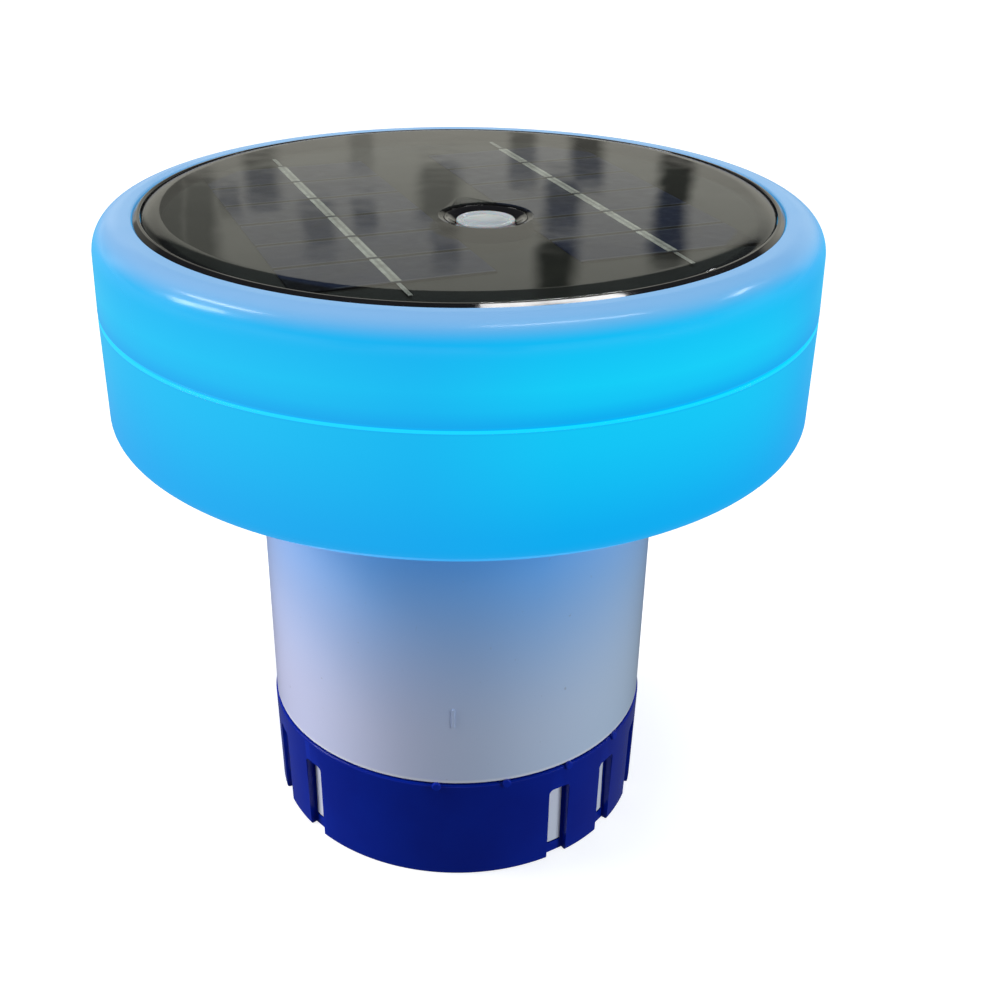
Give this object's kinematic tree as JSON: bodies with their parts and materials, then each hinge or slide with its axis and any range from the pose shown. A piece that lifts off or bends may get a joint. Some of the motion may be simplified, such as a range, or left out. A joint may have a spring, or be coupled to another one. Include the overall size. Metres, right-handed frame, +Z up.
{
  "type": "floating pool light",
  "caption": "Round solar light that floats on a pool, with a push button on top, over a screw-on canister for cleaning tablets with a turning slotted flow cap.",
  "frame": {"origin": "centre of the base, on the surface that the flow cap stands on", "axes": "+Z up through the canister and the float, -Y towards the viewer"},
  "size_m": [0.156, 0.156, 0.15],
  "materials": {
    "canister_plastic": "glossy moulded polypropylene, cool white",
    "cap_plastic": "navy blue moulded plastic, satin gloss",
    "float_plastic": "translucent milky plastic lit cyan from inside",
    "seal_rubber": "soft translucent sealing rubber",
    "black_rubber": "matte black rubber",
    "chassis_plastic": "white matte moulded plastic",
    "steel_screw": "zinc-plated steel",
    "circuit_green": "green solder mask",
    "circuit_black": "black solder mask",
    "led_body": "lit lamp bodies",
    "component_black": "black epoxy packages",
    "switch_black": "black nylon",
    "battery_wrap": "shrink sleeve, blue",
    "holder_black": "black moulded plastic",
    "contact_metal": "nickel-plated spring steel",
    "lead_red": "red insulation",
    "lead_black": "black insulation",
    "cell_silicon": "dark blue-grey silicon",
    "ribbon_tin": "tinned copper",
    "panel_resin": "clear resin over black board, glossy",
    "bezel_black": "glossy black plastic",
    "button_milky": "translucent milky plastic"
  },
  "bodies": {
    "canister": {"tablet_canister": "canister_plastic"},
    "flow_cap": {"flow_cap": "cap_plastic"},
    "neck_gasket": {"neck_gasket": "black_rubber"},
    "head": {"lower_shell": "float_plastic", "upper_shell": "float_plastic", "shell_seal": "seal_rubber", "shell_screws": "steel_screw", "chassis_plate": "chassis_plastic", "led_board": "circuit_green", "leds": "led_body", "control_board": "circuit_green", "board_components": "component_black", "tact_switch": "switch_black", "board_screws": "steel_screw", "battery": "battery_wrap", "battery_holder": "holder_black", "battery_contacts": "contact_metal", "leads_red": "lead_red", "leads_black": "lead_black", "panel_gasket": "black_rubber", "panel_board": "circuit_black", "solar_cells": "cell_silicon", "cell_ribbons": "ribbon_tin", "panel_resin": "panel_resin", "panel_bezel": "bezel_black", "button_bezel": "bezel_black"},
    "power_button": {"power_button": "button_milky", "switch_plunger": "component_black"}
  },
  "joints": [
    {"name": "flow_turn", "type": "hinge", "parent": "canister", "child": "flow_cap", "pos_m": [0, 0, 0.014], "axis": [0, 0, -1], "range_deg": [0, 60]},
    {"name": "head_rise", "type": "slide", "parent": "canister", "child": "neck_gasket", "axis": [0, 0, 1], "range_m": [0, 0.0105]},
    {"name": "head_unscrew", "type": "hinge", "parent": "neck_gasket", "child": "head", "pos_m": [0, 0, 0.104], "axis": [0, 0, 1], "range_deg": [0, 300]},
    {"name": "button_press", "type": "slide", "parent": "head", "child": "power_button", "axis": [0, 0, -1], "range_m": [0, 0.0009], "stiffness_N_per_m": 1500}
  ],
  "couplings": [
    {"joint": "head_rise", "follows": "head_unscrew", "m_per_rad": 0.0019099}
  ]
}
